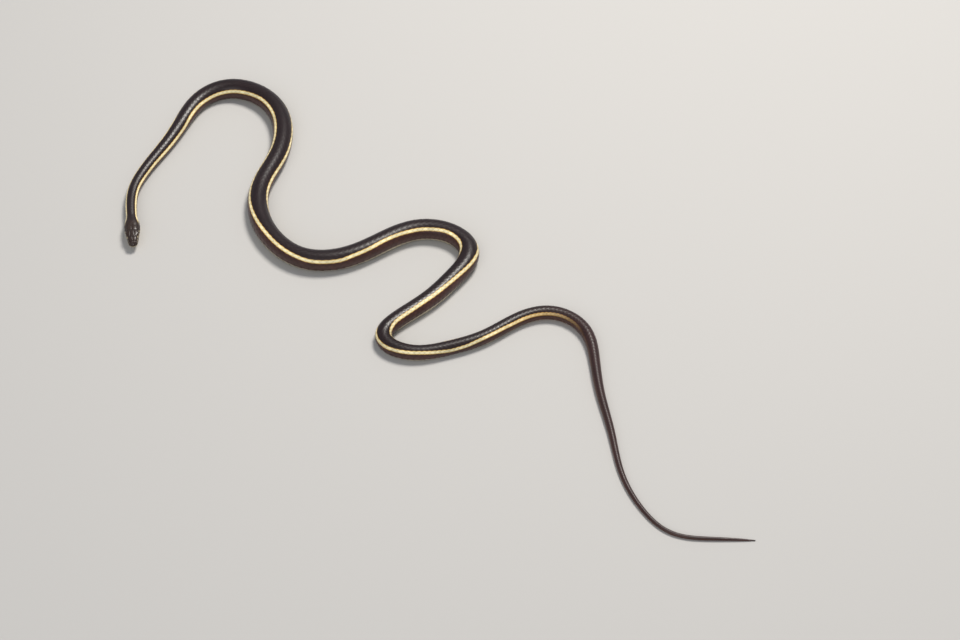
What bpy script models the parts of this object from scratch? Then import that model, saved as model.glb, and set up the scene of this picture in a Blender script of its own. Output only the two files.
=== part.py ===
"""A striped racer snake at life size, lying on the floor in loose S bends.

The whole animal is one surface, skin(s, angle), with s the distance from the
snout tip along the spine. It is cut across into a head, a neck, seven lengths
of trunk and three of tail. The lower jaw is parted from the head along the
line of the mouth, and the eyes are balls in sockets. The belly is flat where
it lies on the floor, z = 0.
"""

import math

import bmesh
import bpy
import numpy as np

MM = 0.001
GAP = 0.3 * MM

# Spine seen from above, in millimetres, from the nape to the tail tip.
SPINE = (
    (-269, 104), (-271, 131), (-262, 160), (-249, 185), (-238, 211), (-226, 234),
    (-205, 246), (-181, 240), (-163, 220), (-157, 194), (-161, 166), (-171, 138),
    (-172, 112), (-158, 80), (-134, 61), (-103, 62), (-76, 77), (-49, 91),
    (-24, 88), (-7.7, 70), (-9, 59.2), (-17.6, 45.7), (-37, 22), (-61, 2), (-73, -15),
    (-55, -29), (-27, -26), (4, -14), (30, 4), (54, 10), (77, -5), (84, -33), (87, -64),
    (93.9, -100), (99.7, -136.4), (113.2, -167.8), (131.9, -187.5), (160, -192), (190, -193),
)
SPINE_ROUNDING = 6.0 * MM
SPINE_STEP = 0.5 * MM

HEAD_LENGTH = 30.0 * MM
HEAD_LIFT = 2.5 * MM
LIFT_ENDS = 100.0 * MM

# Half width of the body in millimetres at distances from the snout tip.
GIRTH = (
    (30, 4.45), (45, 4.6), (80, 5.05), (120, 5.9), (160, 7.1), (200, 8.1),
    (240, 8.3), (300, 8.0), (380, 8.3), (460, 8.3), (565, 7.95), (601, 7.4), (631, 7.1),
    (691, 6.2), (726, 5.6), (801, 5.4), (843, 5.0), (873, 4.1), (927, 3.0),
    (979, 2.15), (1032, 1.6), (1062, 1.45), (1083, 1.05), (1097, 0.4),
)
BELLY_ANGLE = math.radians(143.13)
BODY_TOP = 1.8
BODY_MID = 0.8

# Head in millimetres: distance from the snout tip, half width, height of the
# crown, of the chin, and of the widest level, and squareness of the crown.
HEAD = (
    (0.0, 2.6, 4.9, 2.0, 3.6, 2.2),
    (2.0, 3.2, 5.7, 1.3, 3.7, 2.5),
    (5.0, 3.85, 6.7, 0.75, 3.8, 2.9),
    (8.5, 4.5, 7.6, 0.4, 3.9, 3.2),
    (12.0, 5.1, 8.15, 0.15, 3.9, 3.1),
    (17.0, 5.85, 8.6, 0.0, 3.9, 2.7),
    (21.0, 5.95, 8.6, 0.0, 3.8, 2.4),
    (26.0, 5.05, 8.3, 0.0, 3.7, 2.1),
    (30.0, 4.45, 8.01, 0.0, 3.56, 2.0),
)
SNOUT_ROUND = 2.2 * MM
CHIN_ANGLE = math.radians(158)

# Line of the mouth in millimetres: distance from the snout tip and height.
MOUTH = ((-1.0, 2.6), (3.0, 2.5), (8.0, 2.4), (13.0, 2.55), (17.0, 3.05), (20.0, 3.75))
JAW_BACK = 20.6 * MM

EYE_RADIUS = 2.0 * MM
EYE_AT = 10.6 * MM
EYE_OUT = 3.3 * MM
EYE_HEIGHT = 5.25 * MM
NOSTRIL_RADIUS = 0.4 * MM
NOSTRIL_AT = 1.9 * MM
NOSTRIL_HEIGHT = 4.6 * MM

# Plates of the head, each by its corners in millimetres from the snout tip.
# Those of the crown are drawn from above, (along, out), the left one of a pair.
CROWN_PAIRS = (
    ((1.15, 0.15), (1.6, 1.4), (2.4, 2.2), (3.1, 2.25), (3.1, 0.15)),
    ((3.4, 0.15), (3.4, 2.35), (4.8, 2.95), (6.2, 3.1), (6.7, 1.9), (6.5, 0.15)),
    ((7.0, 2.1), (6.7, 3.2), (8.6, 3.8), (11.0, 4.15), (12.7, 4.1), (12.9, 2.4), (11.6, 1.6), (9.0, 1.8)),
    (
        (13.7, 0.15), (12.9, 1.1), (13.2, 2.4), (13.1, 4.1),
        (15.4, 4.2), (17.6, 3.0), (18.6, 1.0), (18.4, 0.15),
    ),
)
FRONTAL = ((6.8, 0.0), (7.0, 1.75), (9.0, 1.45), (11.6, 1.25), (12.7, 0.75), (13.3, 0.0))
# Those of the side are drawn from the left, (along, height).
SIDE_PLATES = (
    ((0.75, 3.9), (0.8, 4.8), (1.9, 5.25), (3.2, 5.5), (3.3, 4.2), (1.9, 3.9)),
    ((3.6, 4.25), (3.55, 5.6), (5.6, 6.15), (5.8, 4.5)),
    ((6.1, 4.8), (5.9, 6.2), (7.4, 6.75), (8.3, 6.5), (8.0, 4.9)),
    ((6.1, 4.1), (6.1, 4.5), (7.9, 4.6), (8.5, 4.05)),
    ((12.9, 5.9), (12.6, 7.1), (13.7, 7.35), (14.0, 6.0)),
    ((12.6, 4.6), (13.0, 5.6), (14.0, 5.7), (13.7, 4.8)),
    ((14.3, 6.1), (14.0, 7.35), (16.6, 7.5), (16.9, 6.2)),
    ((14.0, 4.95), (14.3, 5.8), (16.9, 5.9), (16.9, 5.2)),
    ((17.2, 6.3), (16.9, 7.4), (19.0, 7.4), (19.6, 6.3)),
    ((17.2, 5.2), (17.2, 6.0), (19.7, 6.0), (20.0, 5.2)),
)
LIP_STOPS = (0.9, 2.4, 4.5, 6.6, 9.2, 12.1, 14.5, 17.3, 20.2)
LIP_TOPS = (3.6, 3.65, 3.95, 3.8, 3.5, 3.55, 4.45, 4.9, 4.95)
JAW_STOPS = (1.7, 3.1, 5.0, 7.0, 9.3, 11.9, 14.3, 16.6, 18.6, 20.3)
JAW_BOTTOMS = (1.4, 1.3, 1.15, 1.0, 0.95, 0.95, 1.1, 1.4, 1.9, 2.6)
# Chin shields and throat plates are drawn from below, (along, out).
CHIN_PAIRS = (
    ((2.7, 0.15), (2.9, 1.0), (6.6, 2.0), (7.4, 1.4), (7.6, 0.15)),
    ((8.0, 0.2), (7.8, 1.5), (11.6, 2.5), (12.4, 1.6), (10.4, 0.2)),
)
ROSTRAL = ((0.0, 2.98), (1.35, 2.98), (1.5, 3.7), (0.8, 4.75), (0.0, 5.15))
MENTAL = ((0.0, 2.2), (1.25, 2.2), (0.85, 1.55), (0.0, 1.4))
THROAT_STOPS = (12.9, 15.4, 17.9, 20.4, 23.4, 26.4, 29.6)
THROAT_HALF = 2.3
# In millimetres on the drawings: the grooves between lip plates, their margin at
# the mouth, the bevel's width, and the edge length that takes a middle point.
PLATE_GROOVE = 0.3
LIP_MARGIN = 0.1
PLATE_INSET = 0.25
LONG_EDGE = 1.7
PLATE_RISE = 0.26 * MM
PLATE_EDGE = 0.08 * MM
PLATE_ROOT = 0.7 * MM
ROOT_TAPER = 0.12
MIDDLE_RISE = 1.1

# Belly plates, wider than the real ones, flare at their hind edges.
SCUTE = 9.5 * MM
SCUTE_RISE = 0.4 * MM
SCUTE_EDGE = 0.12 * MM
SCUTES_END = 1010.0 * MM
SCUTE_ANGLES = (math.radians(95), math.radians(122))

TRUNK_CUTS = (100, 195, 290, 370, 465, 572, 688, 815)
TAIL_CUTS = (815, 905, 1010)
HEAD_SIDES = 24
BODY_SIDES = 16
RING_TURN = math.radians(14)
RING_LONGEST = 10.0 * MM

BROWN = (0.055, 0.028, 0.018)
LIP_CREAM = (0.55, 0.45, 0.28)
TAIL_BROWN = (0.13, 0.062, 0.034)
EYE_DARK = (0.02, 0.012, 0.008)


def ease(stations, at):
    """Smooth curve through rows of (distance, value, ...), with no overshoot:
    each piece is a cubic whose slopes are the harmonic mean of its neighbours'."""
    rows = np.array(stations, float)
    x, values = rows[:, 0], rows[:, 1:]
    step = np.diff(x)[:, None]
    rise = np.diff(values, axis=0) / step
    slope = np.zeros_like(values)
    same_way = rise[1:] * rise[:-1] > 0
    mean = 2 * rise[1:] * rise[:-1] / np.where(same_way, rise[1:] + rise[:-1], 1.0)
    slope[1:-1] = np.where(same_way, mean, 0.0)
    slope[0], slope[-1] = rise[0], rise[-1]
    at = np.clip(np.atleast_1d(at), x[0], x[-1])
    i = np.clip(np.searchsorted(x, at) - 1, 0, len(step) - 1)
    u = ((at - x[i])[:, None]) / step[i]
    return (
        values[i] * (1 + 2 * u) * (1 - u) ** 2
        + values[i + 1] * u**2 * (3 - 2 * u)
        + step[i] * (slope[i] * u * (1 - u) ** 2 - slope[i + 1] * u**2 * (1 - u))
    )


def spline(points, count):
    """Natural cubic spline through the points, with chord length as its parameter."""
    t = np.concatenate([[0.0], np.cumsum(np.hypot(*np.diff(points, axis=0).T))])
    h = np.diff(t)
    last = len(points) - 1
    system = np.eye(last + 1)
    bend = np.zeros((last + 1, 2))
    for i in range(1, last):
        system[i, i - 1 : i + 2] = h[i - 1], 2 * (h[i - 1] + h[i]), h[i]
        ahead = (points[i + 1] - points[i]) / h[i]
        bend[i] = 6 * (ahead - (points[i] - points[i - 1]) / h[i - 1])
    bend = np.linalg.solve(system, bend)
    u = np.linspace(0.0, t[-1], count)
    i = np.clip(np.searchsorted(t, u) - 1, 0, last - 1)
    b = ((u - t[i]) / h[i])[:, None]
    a = 1 - b
    sag = ((a**3 - a) * bend[i] + (b**3 - b) * bend[i + 1]) * (h[i] ** 2)[:, None] / 6
    return a * points[i] + b * points[i + 1] + sag


def even_steps(path, step):
    """The same path with its points a step apart."""
    length = np.concatenate([[0.0], np.cumsum(np.hypot(*np.diff(path, axis=0).T))])
    at = np.linspace(0.0, length[-1], int(round(length[-1] / step)) + 1)
    return np.stack([np.interp(at, length, path[:, k]) for k in (0, 1)], 1)


def spine_path():
    """Spine from the snout tip: a straight head, then the rounded route of the
    body, in points SPINE_STEP apart."""
    body = spline(np.array(SPINE, float) * MM, 1200)
    body = even_steps(body, SPINE_STEP)
    reach = int(3 * SPINE_ROUNDING / SPINE_STEP)
    weight = np.exp(-0.5 * (np.arange(-reach, reach + 1) * SPINE_STEP / SPINE_ROUNDING) ** 2)
    before = 2 * body[0] - body[reach:0:-1]
    after = 2 * body[-1] - body[-2 : -reach - 2 : -1]
    longer = np.vstack([before, body, after])
    body = np.stack(
        [np.convolve(longer[:, k], weight / weight.sum(), "valid") for k in (0, 1)], 1
    )
    forward = (body[0] - body[1]) / np.hypot(*(body[0] - body[1]))
    ahead = np.arange(HEAD_LENGTH, 0, -SPINE_STEP)[:, None]
    return even_steps(np.vstack([body[0] + forward * ahead, body]), SPINE_STEP)


PATH = spine_path()
LENGTH = (len(PATH) - 1) * SPINE_STEP
HEADING = np.gradient(PATH, SPINE_STEP, axis=0)
HEADING /= np.hypot(*HEADING.T)[:, None]


def along(values, s):
    """Values kept at every SPINE_STEP, read at the distances s."""
    at = np.arange(len(values)) * SPINE_STEP
    return np.stack([np.interp(s, at, values[:, k]) for k in range(values.shape[1])], 1)


def section(s):
    """Half width, top, bottom, widest level, squareness and belly angle at s."""
    s = np.atleast_1d(np.asarray(s, float))
    half = ease(GIRTH, s / MM)[:, 0] * MM
    body = np.stack([half, BODY_TOP * half, 0 * half, BODY_MID * half, 2 + 0 * half], 1)
    head = ease(HEAD, s / MM)
    head[:, :4] *= MM
    shape = np.where((s < HEAD_LENGTH)[:, None], head, body)
    belly = np.interp(s, (0.5 * HEAD_LENGTH, HEAD_LENGTH), (CHIN_ANGLE, BELLY_ANGLE))
    round_off = np.sqrt(1 - np.clip(1 - s / SNOUT_ROUND, 0, 1) ** 2)
    half, top, bottom, mid, square = shape.T
    top = mid + (top - mid) * round_off
    bottom = mid + (bottom - mid) * round_off
    return half * round_off, top, bottom, mid, square, belly


def reach(s):
    """Width, height above and depth below the widest level, and the powers of the
    sine and cosine that give the crown's and the chin's roundness."""
    half, top, bottom, mid, square, belly = section(s)
    crown, chin = 2 / square, 2 / (1 + square / 2)
    deep = (mid - bottom) / np.abs(np.cos(belly)) ** chin
    return half, top - mid, deep, bottom, mid, crown, chin


def flare(s, angle):
    """Share by which a belly plate stands out: it grows to the plate's hind edge."""
    share = np.where((s > HEAD_LENGTH) & (s < SCUTES_END), (s - HEAD_LENGTH) / SCUTE % 1.0, 0.0)
    low, full = SCUTE_ANGLES
    u = np.clip((np.abs(angle) - low) / (full - low), 0, 1)
    return SCUTE_RISE * share * u * u * (3 - 2 * u)


def lift(s):
    """How far the belly line is held above the floor: the head's height, eased to 0."""
    u = np.clip((LIFT_ENDS - s) / (LIFT_ENDS - HEAD_LENGTH), 0, 1)
    return HEAD_LIFT * u * u * (3 - 2 * u)


def skin(s, angle):
    """Points of the skin at distances s and angles from the mid-back, left positive.
    Each section is a superellipse about its widest level, cut off level below."""
    s, angle = np.broadcast_arrays(np.asarray(s, float), np.asarray(angle, float))
    grid, s, angle = s.shape, s.ravel(), angle.ravel()
    half, high, deep, bottom, mid, crown, chin = reach(s)
    above = np.cos(angle) > 0
    power = np.where(above, crown, chin)
    half = half + flare(s, angle)
    across = half * np.sign(np.sin(angle)) * np.abs(np.sin(angle)) ** power
    height = mid + np.where(above, high, -deep) * np.abs(np.cos(angle)) ** power
    height = np.maximum(height, bottom) + lift(s)
    place, heading = along(PATH, s), along(HEADING, s)
    left = np.stack([heading[:, 1], -heading[:, 0]], 1)
    return np.column_stack([place + left * across[:, None], height]).reshape(grid + (3,))


def raised(s, angle, rise):
    """Points at a height above the skin, or below it, along its normal."""
    step, turn = 0.05 * MM, 0.02
    back = skin(s + step, angle) - skin(np.maximum(s - step, 0), angle)
    round_left = skin(s, angle + turn) - skin(s, angle - turn)
    normal = np.cross(round_left, back)
    normal /= np.linalg.norm(normal, axis=-1, keepdims=True)
    return skin(s, angle) + normal * rise


def rings_between(start, end):
    """Distances of the rings: one on each side of every belly plate's hind edge, and
    more where the spine bends, so that no two neighbours turn by more than RING_TURN."""
    plates = np.arange(HEAD_LENGTH + SCUTE, SCUTES_END, SCUTE)
    plates = plates[(plates > start + SCUTE_EDGE) & (plates < end - SCUTE_EDGE)]
    edges = np.ravel([plates - SCUTE_EDGE, plates + SCUTE_EDGE], "F")
    stops = np.concatenate([[start], edges, [end]])
    rings = [start]
    for a, b in zip(stops[:-1], stops[1:]):
        fine = np.linspace(a, b, int((b - a) / SPINE_STEP) + 2)
        heading = along(HEADING, fine)
        turn = np.abs(np.diff(np.unwrap(np.arctan2(heading[:, 1], heading[:, 0])))).sum()
        count = max(1, math.ceil(max(turn / RING_TURN, (b - a) / RING_LONGEST)))
        rings.extend(np.linspace(a, b, count + 1)[1:])
    return np.array(rings)


def loft(name, s, sides, tip_first=False, tip_last=False):
    """Closed tube over the rings at s, with flat ends, or drawn to a point at the
    snout and the tail tip."""
    belly = section(s)[-1][:, None]
    angle = belly * np.linspace(-1, 1, sides)[None, :]
    rings = skin(np.repeat(s[:, None], sides, 1), angle)
    mesh = bmesh.new()
    verts = [[mesh.verts.new(p) for p in ring] for ring in rings]
    for a, b in zip(verts[:-1], verts[1:]):
        for k in range(sides):
            n = (k + 1) % sides
            mesh.faces.new((a[k], a[n], b[n], b[k]))
    for ring, pointed in ((verts[0], tip_first), (verts[-1], tip_last)):
        if pointed:
            middle = np.mean([v.co for v in ring], axis=0)
            tip = mesh.verts.new(middle)
            for k in range(sides):
                mesh.faces.new((ring[k], ring[(k + 1) % sides], tip))
        else:
            mesh.faces.new(ring)
    bmesh.ops.recalc_face_normals(mesh, faces=mesh.faces)
    data = bpy.data.meshes.new(name)
    mesh.to_mesh(data)
    mesh.free()
    return add_object(name, data)


def add_object(name, data):
    thing = bpy.data.objects.new(name, data)
    bpy.context.scene.collection.objects.link(thing)
    return thing


def finish(thing, colour, roughness):
    """A matt skin or wet eye colour, with smooth shading across shallow edges."""
    material = bpy.data.materials.new(thing.name)
    material.use_nodes = True
    shader = material.node_tree.nodes["Principled BSDF"]
    shader.inputs["Base Color"].default_value = (*colour, 1)
    shader.inputs["Roughness"].default_value = roughness
    shader.inputs["Metallic"].default_value = 0
    thing.data.materials.clear()
    thing.data.materials.append(material)
    thing.data.shade_smooth()
    thing.data.set_sharp_from_angle(angle=math.radians(35))


def cut(thing, cutter, operation="DIFFERENCE"):
    """Boolean with one cutter, applied at once and the cutter removed."""
    modifier = thing.modifiers.new("cut", "BOOLEAN")
    modifier.operation = operation
    modifier.object = cutter
    graph = bpy.context.evaluated_depsgraph_get()
    data = bpy.data.meshes.new_from_object(thing.evaluated_get(graph))
    thing.modifiers.clear()
    thing.data = data
    bpy.data.objects.remove(cutter)


def fuse(thing, pieces):
    """Union of one object with all the pieces, keeping its largest closed surface."""
    group = bpy.data.collections.new("pieces")
    bpy.context.scene.collection.children.link(group)
    for piece in pieces:
        group.objects.link(piece)
    modifier = thing.modifiers.new("fuse", "BOOLEAN")
    modifier.operation = "UNION"
    modifier.operand_type = "COLLECTION"
    modifier.collection = group
    graph = bpy.context.evaluated_depsgraph_get()
    data = bpy.data.meshes.new_from_object(thing.evaluated_get(graph))
    thing.modifiers.clear()
    thing.data = data
    for piece in pieces:
        bpy.data.objects.remove(piece)
    bpy.data.collections.remove(group)
    keep_largest(thing)


def keep_largest(thing):
    """Drop all but the closed surface with the most faces."""
    mesh = bmesh.new()
    mesh.from_mesh(thing.data)
    left = set(mesh.faces)
    parts = []
    while left:
        part, edge_of_part = set(), [next(iter(left))]
        while edge_of_part:
            face = edge_of_part.pop()
            if face in part:
                continue
            part.add(face)
            edge_of_part.extend(f for e in face.edges for f in e.link_faces if f not in part)
        parts.append(part)
        left -= part
    parts.sort(key=len)
    for part in parts[:-1]:
        bmesh.ops.delete(mesh, geom=list(part), context="FACES")
    mesh.to_mesh(thing.data)
    mesh.free()


def head_place(distance, out, height):
    """A point of the straight head: along it, out to the left, and up."""
    place = along(PATH, np.array([distance]))[0]
    left = np.array([HEADING[0][1], -HEADING[0][0]])
    return (*(place + left * out), height + HEAD_LIFT)


def traced(view, drawn):
    """Distance and angle on the skin of points drawn in millimetres from above or
    below (along, out), from the left side (along, height) or the front (out, height)."""
    first, second = drawn[:, 0] * MM, drawn[:, 1] * MM
    if view == "front":
        near, far = np.zeros(len(drawn)), np.full(len(drawn), 5 * MM)
        for _ in range(30):
            s = (near + far) / 2
            half, high, deep, _, mid, crown, chin = reach(s)
            up = np.where(second > mid, high, deep)
            power = np.where(second > mid, 2 / crown, 2 / chin)
            inside = np.abs(first / half) ** power + np.abs((second - mid) / up) ** power < 1
            near, far = np.where(inside, near, s), np.where(inside, s, far)
        out = np.sign(first) * np.abs(first / half) ** (power / 2)
        return s, np.arctan2(out, np.sign(second - mid) * np.abs((second - mid) / up) ** (power / 2))
    half, high, deep, _, mid, crown, chin = reach(first)
    if view == "side":
        above = second > mid
        share = np.where(above, (second - mid) / high, (mid - second) / deep)
        angle = np.arccos(np.clip(share, 0, 1) ** (1 / np.where(above, crown, chin)))
        return first, np.where(above, angle, math.pi - angle)
    power = 1 / (crown if view == "above" else chin)
    angle = np.arcsin(np.sign(second) * np.clip(np.abs(second) / half, 0, 1) ** power)
    return first, angle if view == "above" else math.pi - angle


def traced_side(distance, height, side):
    """Distance and angle of one point of the head's side."""
    s, angle = traced("side", np.array([(distance / MM, height / MM)]))
    return s[0], side * angle[0]


def plate(view, corners, side=1):
    """A plate drawn flat and laid on the head: a level top, a bevelled edge and a
    root sunk into the flesh. Long edges get a point in the middle."""
    outline = []
    for a, b in zip(corners, corners[1:] + corners[:1]):
        outline.append(a)
        if math.dist(a, b) > LONG_EDGE:
            outline.append(((a[0] + b[0]) / 2, (a[1] + b[1]) / 2))
    outline = np.array(outline)
    middle = outline.mean(0)
    inward = middle - outline
    size = np.hypot(*inward.T)[:, None]
    inset = outline + inward * np.minimum(PLATE_INSET / size, 0.45)
    rings = (
        (outline + inward * ROOT_TAPER, -PLATE_ROOT),
        (outline, PLATE_EDGE),
        (inset, PLATE_RISE),
        (middle[None], PLATE_RISE * MIDDLE_RISE),
    )
    mesh = bmesh.new()
    verts = []
    for drawn, height in rings:
        s, angle = traced(view, drawn)
        verts.append([mesh.verts.new(p) for p in raised(s, side * angle, height)])
    count = len(outline)
    mesh.faces.new(verts[0])
    for k in range(count):
        n = (k + 1) % count
        for low, high in ((verts[0], verts[1]), (verts[1], verts[2])):
            mesh.faces.new((low[k], low[n], high[n], high[k]))
        mesh.faces.new((verts[2][k], verts[2][n], verts[3][0]))
    bmesh.ops.triangulate(mesh, faces=mesh.faces)
    bmesh.ops.recalc_face_normals(mesh, faces=mesh.faces)
    data = bpy.data.meshes.new("plate")
    mesh.to_mesh(data)
    mesh.free()
    return add_object("plate", data)


def both_sides(left_half, across):
    """A whole outline from its left half; across says which coordinate mirrors."""
    sign = (-1, 1) if across == 0 else (1, -1)
    return left_half + tuple((a * sign[0], b * sign[1]) for a, b in left_half[-2:0:-1])


def mouth_height(at):
    return float(ease(MOUTH, at)[0, 0])


def head_plates():
    """Shields of the crown, the sides and the upper lip."""
    plates = [plate("above", both_sides(FRONTAL, 1)), plate("front", both_sides(ROSTRAL, 0))]
    for side in (1, -1):
        plates += [plate("above", corners, side) for corners in CROWN_PAIRS]
        plates += [plate("side", corners, side) for corners in SIDE_PLATES]
        for k, (start, end) in enumerate(zip(LIP_STOPS[:-1], LIP_STOPS[1:])):
            start = start + PLATE_GROOVE
            low = [mouth_height(at) + GAP / MM + LIP_MARGIN for at in (start, end)]
            high = LIP_TOPS[k : k + 2]
            corners = ((start, low[0]), (start, high[0]), (end, high[1]), (end, low[1]))
            plates.append(plate("side", corners, side))
    return plates + throat_plates(THROAT_STOPS[3:])


def throat_plates(stops):
    """Wide plates across the throat, between the given distances."""
    plates = []
    for start, end in zip(stops[:-1], stops[1:]):
        start = start + PLATE_GROOVE
        half = ((start, 0.0), (start, THROAT_HALF), (end, THROAT_HALF), (end, 0.0))
        plates.append(plate("below", both_sides(half, 1)))
    return plates


def jaw_plates():
    """Shields of the lower lip and the chin, and the first throat plates."""
    plates = [plate("front", both_sides(MENTAL, 0))]
    for side in (1, -1):
        plates += [plate("below", corners, side) for corners in CHIN_PAIRS]
        for k, (start, end) in enumerate(zip(JAW_STOPS[:-1], JAW_STOPS[1:])):
            start = start + PLATE_GROOVE
            high = [mouth_height(at) - LIP_MARGIN for at in (start, end)]
            low = JAW_BOTTOMS[k : k + 2]
            corners = ((start, low[0]), (start, high[0]), (end, high[1]), (end, low[1]))
            plates.append(plate("side", corners, side))
    return plates + throat_plates(THROAT_STOPS[:4])


def jaw_block(name, grow):
    """Prism under the line of the mouth, back to the jaw's hinge, larger by grow."""
    at = np.linspace(MOUTH[0][0], MOUTH[-1][0], 12)
    line = ease(MOUTH, at)[:, 0] * MM
    profile = [(a * MM, z + grow) for a, z in zip(at, line)]
    profile[0] = (-4 * MM, line[0] + grow)
    profile += [(JAW_BACK + grow, line[-1] + grow), (JAW_BACK + grow, -3 * MM), (-4 * MM, -3 * MM)]
    mesh = bmesh.new()
    base = along(PATH, np.array([0.0]))[0]
    ahead = HEADING[0]
    left = np.array([-ahead[1], ahead[0]])
    corners = []
    for out in (-12 * MM, 12 * MM):
        ring = [(*(base + ahead * a + left * out), z + HEAD_LIFT) for a, z in profile]
        corners.append([mesh.verts.new(p) for p in ring])
    count = len(profile)
    for k in range(count):
        n = (k + 1) % count
        mesh.faces.new((corners[0][k], corners[0][n], corners[1][n], corners[1][k]))
    mesh.faces.new(corners[0])
    mesh.faces.new(corners[1])
    bmesh.ops.recalc_face_normals(mesh, faces=mesh.faces)
    data = bpy.data.meshes.new(name)
    mesh.to_mesh(data)
    mesh.free()
    block = add_object(name, data)
    block.hide_render = True
    block.display_type = "WIRE"
    return block


def ball(name, radius, place, segments=20, rings=12):
    mesh = bmesh.new()
    bmesh.ops.create_uvsphere(mesh, u_segments=segments, v_segments=rings, radius=radius)
    bmesh.ops.translate(mesh, verts=mesh.verts, vec=place)
    data = bpy.data.meshes.new(name)
    mesh.to_mesh(data)
    mesh.free()
    return add_object(name, data)


def build_head():
    """Head and lower jaw from one loft with their plates, eyes in sockets, nostrils."""
    snout = SNOUT_ROUND * (1 - np.cos(np.radians((9, 26, 45, 66, 90))))
    back = np.linspace(SNOUT_ROUND, HEAD_LENGTH - GAP / 2, 20)[1:]
    rings = np.concatenate([snout, back])
    head = loft("head", rings, HEAD_SIDES, tip_first=True)
    jaw = loft("lower_jaw", rings, HEAD_SIDES, tip_first=True)
    fuse(head, head_plates())
    fuse(jaw, jaw_plates())
    cut(head, jaw_block("mouth_cut", GAP))
    cut(jaw, jaw_block("jaw_keep", 0.0), "INTERSECT")
    for side, name in ((1, "eye_left"), (-1, "eye_right")):
        eye_place = head_place(EYE_AT, side * EYE_OUT, EYE_HEIGHT)
        cut(head, ball("socket", EYE_RADIUS + GAP, eye_place))
        nostril_place = raised(*traced_side(NOSTRIL_AT, NOSTRIL_HEIGHT, side), PLATE_RISE)
        cut(head, ball("nostril", NOSTRIL_RADIUS, nostril_place, 8, 6))
        finish(ball(name, EYE_RADIUS, eye_place), EYE_DARK, 0.1)
    keep_largest(head)
    keep_largest(jaw)
    finish(head, BROWN, 0.45)
    finish(jaw, LIP_CREAM, 0.45)


def build_body():
    """Neck, trunk and tail, each length parted from the next by GAP."""
    cuts = [HEAD_LENGTH / MM, *TRUNK_CUTS, *TAIL_CUTS[1:], LENGTH / MM]
    names = ["neck"]
    names += [f"trunk_{k + 1}" for k in range(len(TRUNK_CUTS) - 1)]
    names += [f"tail_{k + 1}" for k in range(len(TAIL_CUTS))]
    for name, start, end in zip(names, cuts[:-1], cuts[1:]):
        last = end == cuts[-1]
        stop = end * MM - (0 if last else GAP / 2)
        rings = rings_between(start * MM + GAP / 2, stop)
        length = loft(name, rings, BODY_SIDES, tip_last=last)
        finish(length, TAIL_BROWN if name.startswith("tail") else BROWN, 0.45)


def centre_on_origin():
    """Shift the spine so that the animal's box is centred over the origin."""
    s = np.linspace(0, LENGTH, 1500)
    outline = np.vstack([skin(s, side * math.pi / 2)[:, :2] for side in (-1, 1)])
    PATH[:] -= (outline.min(0) + outline.max(0)) / 2


for old in list(bpy.data.objects):
    bpy.data.objects.remove(old)
centre_on_origin()
build_head()
build_body()
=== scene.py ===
"""A striped racer snake at life size, lying on a pale floor in loose S bends.

The frame's solids give the pose and the sizes. Over them lie one skin from the
snout to the tail tip, some four thousand overlapping scales, the belly's wide
scutes, the shields of the head and two eyes.
"""

import math

import bpy
import numpy as np
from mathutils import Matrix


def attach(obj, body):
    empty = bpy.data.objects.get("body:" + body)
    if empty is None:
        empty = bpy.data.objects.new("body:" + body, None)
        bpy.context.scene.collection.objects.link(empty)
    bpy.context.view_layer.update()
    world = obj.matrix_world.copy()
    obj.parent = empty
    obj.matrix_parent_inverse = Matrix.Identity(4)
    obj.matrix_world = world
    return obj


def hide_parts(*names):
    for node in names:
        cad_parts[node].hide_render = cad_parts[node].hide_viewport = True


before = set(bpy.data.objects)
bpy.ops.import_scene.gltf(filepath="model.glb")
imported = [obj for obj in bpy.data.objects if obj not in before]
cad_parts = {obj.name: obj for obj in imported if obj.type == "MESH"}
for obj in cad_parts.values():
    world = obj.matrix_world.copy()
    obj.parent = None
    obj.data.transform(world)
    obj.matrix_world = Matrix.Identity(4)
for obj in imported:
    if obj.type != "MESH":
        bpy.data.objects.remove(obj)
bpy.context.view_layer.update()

# The skin. A thin, dry hide in one piece from the snout to the tail tip, which shows
# only as dark lines between the scales. It is a superellipse carried along the spine,
# a scale's thickness inside the frame's solids, and closed at both ends.

MM = 0.001

# Spine seen from above, in millimetres, from the nape to the tail tip.
SPINE = (
    (-269, 104), (-271, 131), (-262, 160), (-249, 185), (-238, 211), (-226, 234),
    (-205, 246), (-181, 240), (-163, 220), (-157, 194), (-161, 166), (-171, 138),
    (-172, 112), (-158, 80), (-134, 61), (-103, 62), (-76, 77), (-49, 91),
    (-24, 88), (-7.7, 70), (-9, 59.2), (-17.6, 45.7), (-37, 22), (-61, 2), (-73, -15),
    (-55, -29), (-27, -26), (4, -14), (30, 4), (54, 10), (77, -5), (84, -33), (87, -64),
    (93.9, -100), (99.7, -136.4), (113.2, -167.8), (131.9, -187.5), (160, -192), (190, -193),
)
SPINE_ROUNDING = 6.0 * MM
SPINE_STEP = 0.5 * MM
HEAD_LENGTH = 30.0 * MM
HEAD_LIFT = 2.5 * MM
LIFT_ENDS = 100.0 * MM

# Half width of the body in millimetres at distances from the snout tip.
GIRTH = (
    (30, 4.45), (45, 4.6), (80, 5.05), (120, 5.9), (160, 7.1), (200, 8.1),
    (240, 8.3), (300, 8.0), (380, 8.3), (460, 8.3), (565, 7.95), (601, 7.4), (631, 7.1),
    (691, 6.2), (726, 5.6), (801, 5.4), (843, 5.0), (873, 4.1), (927, 3.0),
    (979, 2.15), (1032, 1.6), (1062, 1.45), (1083, 1.05), (1097, 0.4),
)
BELLY_ANGLE = math.radians(143.13)
BODY_TOP = 1.8
BODY_MID = 0.8

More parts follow.
